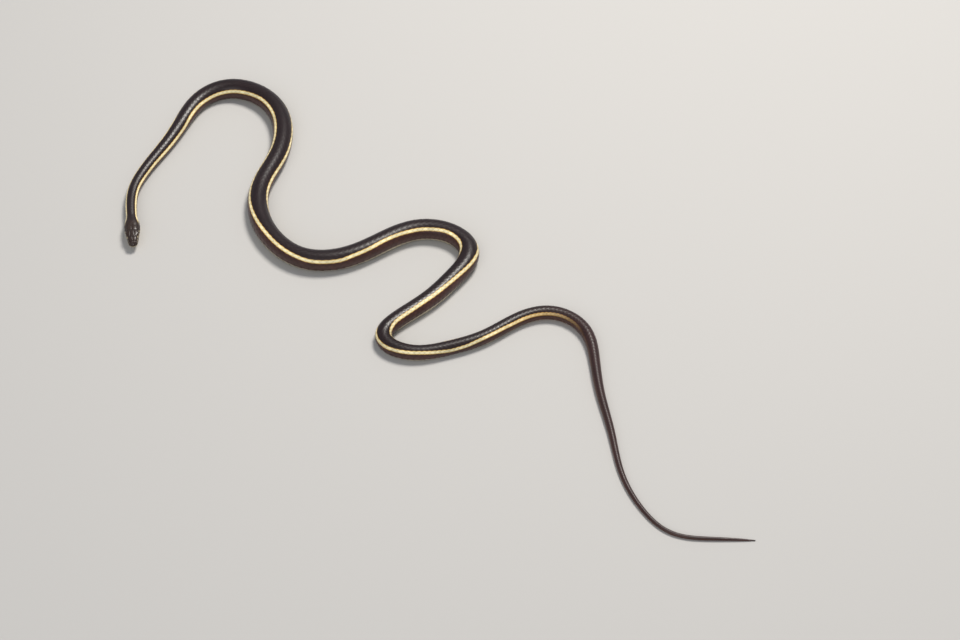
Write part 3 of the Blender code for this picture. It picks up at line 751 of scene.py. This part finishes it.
def build_scales(name, places, material):
    """One mesh of scales: a template laid on the lattice and raised along the normal,
    from its sunk front end to its free hind edge, with a crowned back."""
    x, y, quads, under, edge = scale_template()
    s, row, side = places.T
    row = row.astype(int)
    at = s[:, None] + x[None] * (SCALE_LONG * pitch(s))[:, None]
    at = np.clip(at, END_CLEAR, LENGTH - END_CLEAR)
    middle, half = row_place(at, row[:, None])
    turn = side[:, None] * (middle + y[None] * half * 2 * SCALE_WIDE)
    share = np.clip((x + 1) / 2, 0, 1)[None]
    lift = SCALE_RISE * share**0.85 + SCALE_CROWN * (1 - y**2)[None] * (1 - x**2)[None]
    lift = lift * draw.uniform(0.9, 1.05, (len(s), 1))
    lift[:, -1] = SCALE_UNDER
    rise = (lift - SCALE_ROOT) * thin(s)[:, None] - skin_depth(at)
    angle = turn - turned(at)
    points = raised(at, angle, rise)
    tone = draw.normal(0.5, 0.22, (len(s), 1))
    from_stripe = np.abs(turn) - math.radians(STRIPE_AT)
    scallop = SCALLOP * (np.abs(x)[None] - SCALLOP_LEVEL)
    scallop = scallop * np.exp(-((from_stripe / SCALLOP_REACH) ** 2))
    seen_at = side[:, None] * (np.abs(turn) + from_stripe * scallop)
    marks = marks_at(at, seen_at, tone, edge[None], np.abs(angle))

    first = SCALE_POINTS * np.arange(len(s))[:, None, None]
    flip = side[:, None, None] < 0
    bottoms = np.where(flip, under[None, :, ::-1], under[None]) + first
    tops = np.where(flip, quads[None, :, ::-1], quads[None]) + first
    strip = strip_of(s)[:, None]
    root = unwrap(s[:, None], side[:, None] * row_place(s, row)[0][:, None], strip)
    uv = root + MAP_SHRINK * (unwrap(at, turn, strip) - root)
    faces = [bottoms.reshape(-1, 3), tops.reshape(-1, 4)]
    corner_uv = np.concatenate([uv.reshape(-1, 2)[f.ravel()] for f in faces])
    return make_piece(name, points.reshape(-1, 3), faces, corner_uv, marks, material, 50)


horn = hide_material("scales of the back", 0.34)
places = scale_places()
for name, start, end, slot in (
    ("scales_neck", 0, 200, "back_skin"), ("scales_trunk_front", 200, 440, "back_skin"),
    ("scales_trunk_rear", 440, 815, "back_skin"), ("scales_tail", 815, 1200, "tail_skin"),
):
    chosen = places[(places[:, 0] >= start * MM) & (places[:, 0] < end * MM)]
    build_scales(name, chosen, horn)

# The scutes. One wide plate across the belly for every row of scales, and pairs of them
# under the tail. Each is a strip with a sunk front edge and a free hind edge, wrapped
# round the underside, whose ends tuck under the side's scales.

SCUTES_START = 13.2 * MM
VENT = 815 * MM
SCUTE_LONG = 0.66
SCUTE_PROFILE = (
    (-1, -0.02), (-0.45, 0.14), (0.1, 0.25), (0.6, 0.33), (1, 0.37), (0.5, 0.05), (-0.5, -0.1),
)
# The profile's faces on the upper side, which come last, so that a bake shows them.
SCUTE_TOP = 4
SCUTE_COLUMNS = 25
SCUTE_TUCK = math.radians(3)
# The tail's pairs: how far they cross the middle and how far forward they slant to it.
PAIR_OVERLAP = 0.04
PAIR_SLANT = 0.16
PAIR_COLUMNS = 9


def build_scutes(name, s, low, high, slant, columns):
    """One mesh of plates: a closed profile of thickness is carried the way round from
    the low to the high angle of each plate, and both ends are closed."""
    profile = np.array(SCUTE_PROFILE)
    sides = len(profile)
    y = np.linspace(-1, 1, columns)
    across = ((low + high) / 2)[:, None] + ((high - low) / 2)[:, None] * y[None]
    end = smooth((np.abs(y) - 0.86) / 0.14)
    length = (SCUTE_LONG * pitch(s))[:, None, None] * (1 - 0.25 * end)[None, :, None]
    length = length * profile[None, None, :, 0]
    at = s[:, None, None] + length + (slant * pitch(s))[:, None, None] * y[None, :, None]
    at = np.clip(at, END_CLEAR, LENGTH - END_CLEAR)
    turn = np.broadcast_to(across[:, :, None], at.shape)
    lift = profile[None, None, :, 1] * MM - 0.22 * MM * end[None, :, None]
    rise = (lift - SCALE_ROOT) * thin(s)[:, None, None] - skin_depth(at)
    angle = turn - turned(at)
    points = raised(at, angle, np.minimum(rise, 0.05 * MM))
    tone = draw.normal(0.5, 0.15, (len(s), 1, 1))
    edge = np.isin(np.arange(sides), (0, 4))[None, None] * 1.0
    marks = marks_at(at, turn, tone, edge, np.abs((angle + math.pi) % (2 * math.pi) - math.pi))

    quads = ring_quads(columns - 1, sides)[:, [0, 3, 2, 1]]
    quads = quads[np.argsort(quads[:, 0] % sides < SCUTE_TOP, kind="stable")]
    caps = np.stack([np.arange(sides), (columns - 1) * sides + np.arange(sides)[::-1]])
    first = (columns * sides) * np.arange(len(s))[:, None, None]
    faces = [(caps[None] + first).reshape(-1, sides), (quads[None] + first).reshape(-1, 4)]
    strip = strip_of(s)[:, None, None]
    middle = ((low + high) / 2)[:, None, None]
    root = unwrap(s[:, None, None], middle, strip, 0.0)
    uv = unwrap(at, turn, strip, 0.0)
    uv = root + np.array([MAP_SHRINK, 0.92]) * (uv - root)
    corner_uv = np.concatenate([uv.reshape(-1, 2)[f.ravel()] for f in faces])
    piece = make_piece(name, points.reshape(-1, 3), faces, corner_uv, marks, belly_hide, 50)
    return piece


belly_hide = hide_material("scutes of the belly", 0.36)
columns_at = np.interp(np.arange(1, COUNT[-1] - 0.5), COUNT, FINE)
ventral = columns_at[(columns_at > SCUTES_START) & (columns_at < VENT - 3 * MM)]
lowest = scute_edge(ventral) - SCUTE_TUCK
build_scutes("scutes_belly", ventral, lowest, 2 * math.pi - lowest, 0.0, SCUTE_COLUMNS)
left = columns_at[(columns_at > VENT - 3 * MM) & (columns_at < LENGTH - 4 * MM)]
right = left + pitch(left) / 2
starts = np.concatenate([scute_edge(left) - SCUTE_TUCK, 0 * right + math.pi - PAIR_OVERLAP])
ends = np.concatenate([0 * left + math.pi + PAIR_OVERLAP, 2 * math.pi - starts[: len(right)]])
slants = np.concatenate([0 * left + PAIR_SLANT, 0 * right - PAIR_SLANT])
both = np.concatenate([left, right])
build_scutes("scutes_tail", both, starts, ends, slants, PAIR_COLUMNS)

# The shields of the head. Large plates of horn, edge to edge, with fine grooves between
# them: nine on the crown, those round the nostril and the eye, eight on each upper lip,
# nine on each lower lip, and the chin's. Each outline is drawn flat in millimetres from
# the snout tip, from above, from the side, from below or from the front, and laid on.

CROWN_PAIRS = (
    ((1.1, 0.15), (1.5, 1.4), (2.4, 2.25), (3.1, 2.3), (3.1, 0.15)),
    ((3.4, 0.15), (3.4, 2.4), (4.8, 3.05), (6.2, 3.15), (6.7, 1.9), (6.5, 0.15)),
    (
        (7.0, 2.1), (6.6, 3.3), (8.6, 4.0), (11.0, 4.4),
        (12.8, 4.2), (12.9, 2.4), (11.6, 1.6), (9.0, 1.8),
    ),
    (
        (13.7, 0.15), (12.9, 1.1), (13.2, 2.4), (13.1, 4.1),
        (15.4, 4.2), (17.6, 3.0), (18.6, 1.0), (18.4, 0.15),
    ),
)
FRONTAL = ((6.8, 0.0), (7.0, 1.75), (9.0, 1.45), (11.6, 1.25), (12.7, 0.75), (13.3, 0.0))
SIDE_SHIELDS = (
    ((0.75, 3.9), (0.8, 4.8), (1.85, 5.2), (1.85, 3.85)),
    ((2.1, 3.85), (2.1, 5.25), (3.2, 5.5), (3.3, 4.2)),
    ((3.6, 4.25), (3.55, 5.6), (5.6, 6.15), (5.8, 4.5)),
    ((6.1, 4.8), (5.9, 6.25), (7.4, 6.75), (9.6, 6.9), (9.2, 4.9)),
    ((6.1, 4.1), (6.1, 4.5), (7.9, 4.6), (9.4, 4.6), (8.9, 3.9)),
    ((11.4, 6.0), (11.6, 7.1), (13.7, 7.35), (14.0, 6.0)),
    ((11.6, 4.4), (11.9, 5.7), (14.0, 5.7), (13.7, 4.8)),
    ((14.3, 6.1), (14.0, 7.35), (16.6, 7.5), (16.9, 6.2)),
    ((14.0, 4.95), (14.3, 5.8), (16.9, 5.9), (16.9, 5.2)),
    ((17.2, 6.3), (16.9, 7.4), (19.0, 7.4), (19.6, 6.3)),
    ((17.2, 5.2), (17.2, 6.0), (19.7, 6.0), (20.0, 5.2)),
)
LIP_STOPS = (0.55, 2.4, 4.5, 6.6, 9.2, 12.1, 14.5, 17.3, 20.2)
LIP_TOPS = (3.6, 3.65, 3.95, 3.8, 3.7, 3.7, 4.45, 4.9, 4.95)
JAW_STOPS = (1.3, 3.1, 5.0, 7.0, 9.3, 11.9, 14.3, 16.6, 18.6, 20.3)
JAW_BOTTOMS = (1.4, 1.3, 1.15, 1.0, 0.95, 0.95, 1.1, 1.4, 1.9, 2.6)
CHIN_PAIRS = (
    ((1.9, 0.15), (2.3, 1.2), (4.5, 2.1), (6.9, 2.75), (7.4, 1.5), (7.5, 0.15)),
    ((7.8, 0.15), (7.7, 1.6), (7.3, 2.95), (9.6, 3.3), (12.5, 3.7), (12.9, 1.6), (12.4, 0.2)),
)
ROSTRAL = ((0.0, 2.95), (0.4, 2.9), (0.7, 2.75), (1.25, 2.78), (1.5, 3.7), (0.8, 4.75), (0.0, 5.15))
MENTAL = ((0.0, 2.45), (1.15, 2.4), (0.85, 1.6), (0.0, 1.4))
SHIELD_GROOVE = 0.3
SHIELD_GROW = 0.09
SHIELD_CORNER = 0.16
SHIELD_POINTS = 60
# Inward steps of a shield's rings in millimetres, with their heights, then the shares
# of the way from its middle of those further in.
SHIELD_BEVEL = ((0.0, -0.3), (0.0, -0.06), (0.05, 0.06), (0.11, 0.125), (0.2, 0.165))
SHIELD_INNER = ((0.66, 0.185), (0.33, 0.2))
SHIELD_MIDDLE = 0.205
SHIELD_RIM = (1, 1, 0.8, 0.3, 0, 0, 0, 0)
# The mouth's line to a lip shield, and the points of a shield's edge along it.
LIP_GAP = 0.17
LIP_POINTS = 4


def traced(view, first, second):
    """Distance and angle on the flesh of points drawn from above or below (along,
    out), from the left side (along, height) or the front (out, height)."""
    if view == "front":
        near, far = np.zeros(len(first)), np.full(len(first), 5 * MM)
        for _ in range(30):
            s = (near + far) / 2
            half, high, deep, _, mid, crown, chin = section(s)
            up = np.where(second > mid, high, deep)
            power = np.where(second > mid, 2 / crown, 2 / chin)
            inside = np.abs(first / half) ** power + np.abs((second - mid) / up) ** power < 1
            near, far = np.where(inside, near, s), np.where(inside, s, far)
        out = np.sign(first) * np.abs(first / half) ** (power / 2)
        return s, np.arctan2(out, np.sign(second - mid) * np.abs((second - mid) / up) ** (power / 2))
    half, high, deep, _, mid, crown, chin = section(first)
    if view == "side":
        above = second > mid
        share = np.where(above, (second - mid) / high, (mid - second) / deep)
        angle = np.arccos(np.clip(share, 0, 1) ** (1 / np.where(above, crown, chin)))
        return first, np.where(above, angle, math.pi - angle)
    power = 1 / (crown if view == "above" else chin)
    angle = np.arcsin(np.sign(second) * np.clip(np.abs(second) / half, 0, 1) ** power)
    return first, angle if view == "above" else math.pi - angle


def shield_outline(corners):
    """Closed outline of even steps through the corners, rounded by a running mean, and
    its outward normals. It comes back counterclockwise."""
    corners = np.array(corners, float)
    ahead = np.roll(corners, -1, 0)
    if np.sum(corners[:, 0] * ahead[:, 1] - corners[:, 1] * ahead[:, 0]) < 0:
        corners = corners[::-1]
    closed = np.vstack([corners, corners[:1]])
    length = np.concatenate([[0], np.cumsum(np.hypot(*np.diff(closed, axis=0).T))])
    fine = np.linspace(0, length[-1], 481)[:-1]
    line = np.stack([np.interp(fine, length, closed[:, k]) for k in (0, 1)], 1)
    reach = np.minimum(np.arange(480), 480 - np.arange(480)) * length[-1] / 480
    weight = np.exp(-0.5 * (reach / SHIELD_CORNER) ** 2)
    spectrum = np.fft.fft(weight / weight.sum())[:, None]
    line = np.fft.ifft(np.fft.fft(line, axis=0) * spectrum, axis=0).real
    tangent = np.roll(line, -1, 0) - np.roll(line, 1, 0)
    normal = np.stack([tangent[:, 1], -tangent[:, 0]], 1) / np.hypot(*tangent.T)[:, None]
    every = 480 // SHIELD_POINTS
    return (line + SHIELD_GROW * normal)[::every], normal[::every]


def clear_of(line, middle, radius):
    """The outline pushed out of a circle."""
    away = line - middle
    far = np.hypot(*away.T)[:, None]
    return np.where(far < radius, middle + away * radius / np.maximum(far, 1e-6), line)


class Shields:
    """Shields gathered for one mesh."""

    def __init__(self):
        self.points, self.faces, self.uv = [], [], []
        self.s, self.angle, self.tone, self.rim = [], [], [], []
        self.count = 0

    def add(self, view, corners, side=1):
        """Lay a shield on: a root under the skin, a rounded edge and a gently
        crowned top, as rings of the outline drawn in towards its middle."""
        line, normal = shield_outline(corners)
        middle = line.mean(0)
        rings = [(line - normal * inset, height) for inset, height in SHIELD_BEVEL]
        inner = rings[-1][0] - middle
        rings += [(middle + inner * share, height) for share, height in SHIELD_INNER]
        rings.append((middle[None], SHIELD_MIDDLE))
        if view == "side":
            eye = np.array([EYE_AT, EYE_HEIGHT]) / MM
            nostril = np.array([NOSTRIL_AT, NOSTRIL_HEIGHT]) / MM
            for k, (ring, height) in enumerate(rings[:-1]):
                inset = SHIELD_BEVEL[min(k, 4)][0]
                ring = clear_of(ring, eye, EYE_RIM / MM + 0.03 + inset)
                rings[k] = (clear_of(ring, nostril, NOSTRIL_RADIUS / MM + 0.02 + inset), height)
        drawn = np.vstack([ring for ring, _ in rings]) * MM
        counts = [len(ring) for ring, _ in rings]
        height = np.repeat([h for _, h in rings], counts) * MM
        s, angle = traced(view, *drawn.T)
        angle = angle * side
        self.points.append(raised(np.maximum(s, 0.02 * MM), angle, height))
        quads = ring_quads(len(rings) - 2, SHIELD_POINTS)
        last = (len(rings) - 2) * SHIELD_POINTS
        k = np.arange(SHIELD_POINTS)
        n = (k + 1) % SHIELD_POINTS
        tip = np.stack([last + k, last + n, np.full(SHIELD_POINTS, last + SHIELD_POINTS)], 1)
        base = k[None, ::-1]
        made = [base, quads, tip]
        if view != "front" and side > 0:
            made = [f[:, ::-1] for f in made]
        self.faces.append([f + self.count for f in made])
        self.count += len(s)
        self.s.append(s)
        self.angle.append(angle)
        self.tone.append(np.full(len(s), draw.normal(0.5, 0.12)))
        self.rim.append(np.repeat(SHIELD_RIM, counts))
        root = np.array([s.mean(), angle.mean()])
        flat = np.stack([s, angle], 1)
        self.uv.append(root + 0.9 * (flat - root))

    def build(self, name, material, slot):
        """The mesh, with its map laid out over the head's length and the way round."""
        faces = [np.vstack([f[k] for f in self.faces]) for k in range(3)]
        uv = np.vstack(self.uv)
        uv = np.stack([0.02 + 0.96 * uv[:, 0] / (22 * MM), 0.5 + 0.432 * uv[:, 1] / math.pi], 1)
        corner_uv = np.concatenate([uv[f.ravel()] for f in faces])
        s, angle = np.concatenate(self.s), np.concatenate(self.angle)
        tone, rim = np.concatenate(self.tone), np.concatenate(self.rim)
        marks = marks_at(s, angle, tone, rim, np.abs(angle))
        piece = make_piece(name, np.vstack(self.points), faces, corner_uv, marks, material, 60)
        return piece


def both_sides(left_half, across):
    """A whole outline from its left half; across says which coordinate mirrors."""
    sign = (-1, 1) if across == 0 else (1, -1)
    return left_half + tuple((a * sign[0], b * sign[1]) for a, b in left_half[-2:0:-1])


def lip_shield(start, end, gap, far):
    """Outline of a lip shield from the mouth's line to the heights of its far edge."""
    at = np.linspace(start, end, LIP_POINTS)
    near = mouth_height(at * MM) / MM + gap
    return tuple(zip(at, near)) + ((end, far[1]), (start, far[0]))


shield_horn = hide_material("shields of the head", 0.3)
crown = Shields()
crown.add("above", both_sides(FRONTAL, 1))
crown.add("front", both_sides(ROSTRAL, 0))
lips, jaw = Shields(), Shields()
jaw.add("front", both_sides(MENTAL, 0))
for side in (1, -1):
    for corners in CROWN_PAIRS:
        crown.add("above", corners, side)
    for corners in SIDE_SHIELDS:
        crown.add("side", corners, side)
    for shields, stops, far, gap in (
        (lips, LIP_STOPS, LIP_TOPS, LIP_GAP), (jaw, JAW_STOPS, JAW_BOTTOMS, -LIP_GAP),
    ):
        for k in range(len(stops) - 1):
            outline = lip_shield(stops[k] + SHIELD_GROOVE, stops[k + 1], gap, far[k : k + 2])
            shields.add("side", outline, side)
    for corners in CHIN_PAIRS:
        jaw.add("below", corners, side)
crown.build("shields_crown", shield_horn, "back_skin")
lips.build("shields_upper_lip", shield_horn, "jaw_skin")
jaw.build("shields_lower_jaw", shield_horn, "jaw_skin")

# The eyes. Large round balls under a clear, fixed scale with no lids: a round black
# pupil with a thin gold ring in a brown iris, wet and glossy.

PUPIL = 21
IRIS_COLOURS = (
    (0, (0.002, 0.002, 0.002)), (PUPIL - 1, (0.002, 0.002, 0.002)), (PUPIL + 0.3, (0.46, 0.30, 0.10)),
    (PUPIL + 2.4, (0.40, 0.24, 0.075)), (PUPIL + 4.5, (0.085, 0.042, 0.018)),
    (44, (0.042, 0.020, 0.011)),
    (58, (0.008, 0.005, 0.004)),
)


def eye_material():
    """Colour by the angle from the eye's axis, streaked outwards, under a clear coat."""
    shade = Shading("eye")
    colour = shade.ramp(shade.mark("gaze"), IRIS_COLOURS, 90)
    streak = shade.span(shade.noise(3500), 0, 1, 0.6, 1.4, "LINEAR")
    colour = shade.mix(1.0, colour, streak, "MULTIPLY")
    shade.feed("Base Color", colour)
    return shade.set(Roughness=0.25, Coat_Weight=1.0, Coat_Roughness=0.03)


def build_eye(name, node, side, material):
    """A ball of latitudes round the eye's axis, which points out, a little forward
    and up."""
    forward = -HEADING[0]
    left = np.array([HEADING[0][1], -HEADING[0][0]])
    axis = np.append(left * side * 0.95 + forward * 0.24, 0.12)
    axis /= np.linalg.norm(axis)
    first = np.cross((0, 0, 1), axis)
    first /= np.linalg.norm(first)
    second = np.cross(axis, first)
    middle = along(PATH, np.array([EYE_AT]))[0] + left * side * EYE_OUT
    middle = np.append(middle, EYE_HEIGHT + HEAD_LIFT)
    rings, sides = 40, 56
    gaze = np.linspace(0, math.pi, rings + 1)[1:-1]
    turn = np.arange(sides) / sides * 2 * math.pi
    ring = np.cos(turn)[:, None] * first + np.sin(turn)[:, None] * second
    points = np.sin(gaze)[:, None, None] * ring[None] + np.cos(gaze)[:, None, None] * axis
    points = np.vstack([points.reshape(-1, 3), axis, -axis]) * EYE_RADIUS + middle
    quads = ring_quads(rings - 2, sides)[:, [0, 3, 2, 1]]
    k = np.arange(sides)
    n = (k + 1) % sides
    last = (rings - 2) * sides
    front = np.stack([k, n, np.full(sides, len(points) - 2)], 1)
    rear = np.stack([last + n, last + k, np.full(sides, len(points) - 1)], 1)
    degrees = np.append(np.repeat(np.degrees(gaze), sides), [0, 180])
    flat = degrees / 180 * 0.49
    turn_all = np.append(np.tile(turn, rings - 1), [0, 0])
    uv = 0.5 + flat[:, None] * np.stack([np.cos(turn_all), np.sin(turn_all)], 1)
    faces = [rear, quads, front]
    corner_uv = np.concatenate([uv[f.ravel()] for f in faces])
    piece = make_piece(name, points, faces, corner_uv, {"gaze": degrees}, material)
    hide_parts(node)
    return piece


eye_finish = eye_material()
build_eye("left_eye", "eye_left", 1, eye_finish)
build_eye("right_eye", "eye_right", -1, eye_finish)

# The studio. A plain pale floor under the belly, soft light from a broad lamp high
# behind on the right, a fill from the front, and a pale grey room. The camera looks down at fifty
# degrees from the side that the tail tip is on.

FLOOR = (0.50, 0.49, 0.475)
CAMERA_UP = math.radians(50)
CAMERA_AWAY = 1.6826
CAMERA_TARGET_HEIGHT = 7 * MM


def pale_floor():
    mesh = bpy.data.meshes.new("floor")
    corners = [(x, y, -0.1 * MM) for x, y in ((-4, -4), (4, -4), (4, 4), (-4, 4))]
    mesh.from_pydata(corners, [], [(0, 1, 2, 3)])
    mesh.materials.append(Shading("floor").set(Base_Color=(*FLOOR, 1), Roughness=0.85))
    floor = bpy.data.objects.new("floor", mesh)
    bpy.context.scene.collection.objects.link(floor)


def lamp(name, size, power, colour, place, target=(0, 0, 0)):
    """A square soft lamp at a place, turned to its target."""
    light = bpy.data.lights.new(name, "AREA")
    light.size = size
    light.energy = power
    light.color = colour
    thing = bpy.data.objects.new(name, light)
    bpy.context.scene.collection.objects.link(thing)
    thing.location = place
    away = np.array(place, float) - np.array(target, float)
    flat = math.hypot(away[0], away[1])
    thing.rotation_euler = (math.atan2(flat, away[2]), 0, math.atan2(away[0], -away[1]))


pale_floor()
lamp("key", 0.6, 42, (1.0, 0.96, 0.90), (0.5, 0.8, 1.75))
lamp("fill", 1.6, 12, (1.0, 0.99, 0.97), (-0.7, -1.5, 1.4))
world = bpy.data.worlds.new("room")
bpy.context.scene.world = world
world.use_nodes = True
world.node_tree.nodes["Background"].inputs["Color"].default_value = (0.86, 0.91, 1.0, 1)
world.node_tree.nodes["Background"].inputs["Strength"].default_value = 0.36
bpy.context.scene.view_settings.view_transform = "Standard"

camera = bpy.data.objects.new("camera", bpy.data.cameras.new("camera"))
bpy.context.scene.collection.objects.link(camera)
camera.data.lens = 85
camera.data.sensor_width = 36
camera.data.clip_start = 0.05
camera.location = (
    -CENTRE[0],
    -CENTRE[1] - CAMERA_AWAY * math.cos(CAMERA_UP),
    CAMERA_TARGET_HEIGHT + CAMERA_AWAY * math.sin(CAMERA_UP),
)
camera.rotation_euler = (math.pi / 2 - CAMERA_UP, 0, 0)
bpy.context.scene.camera = camera
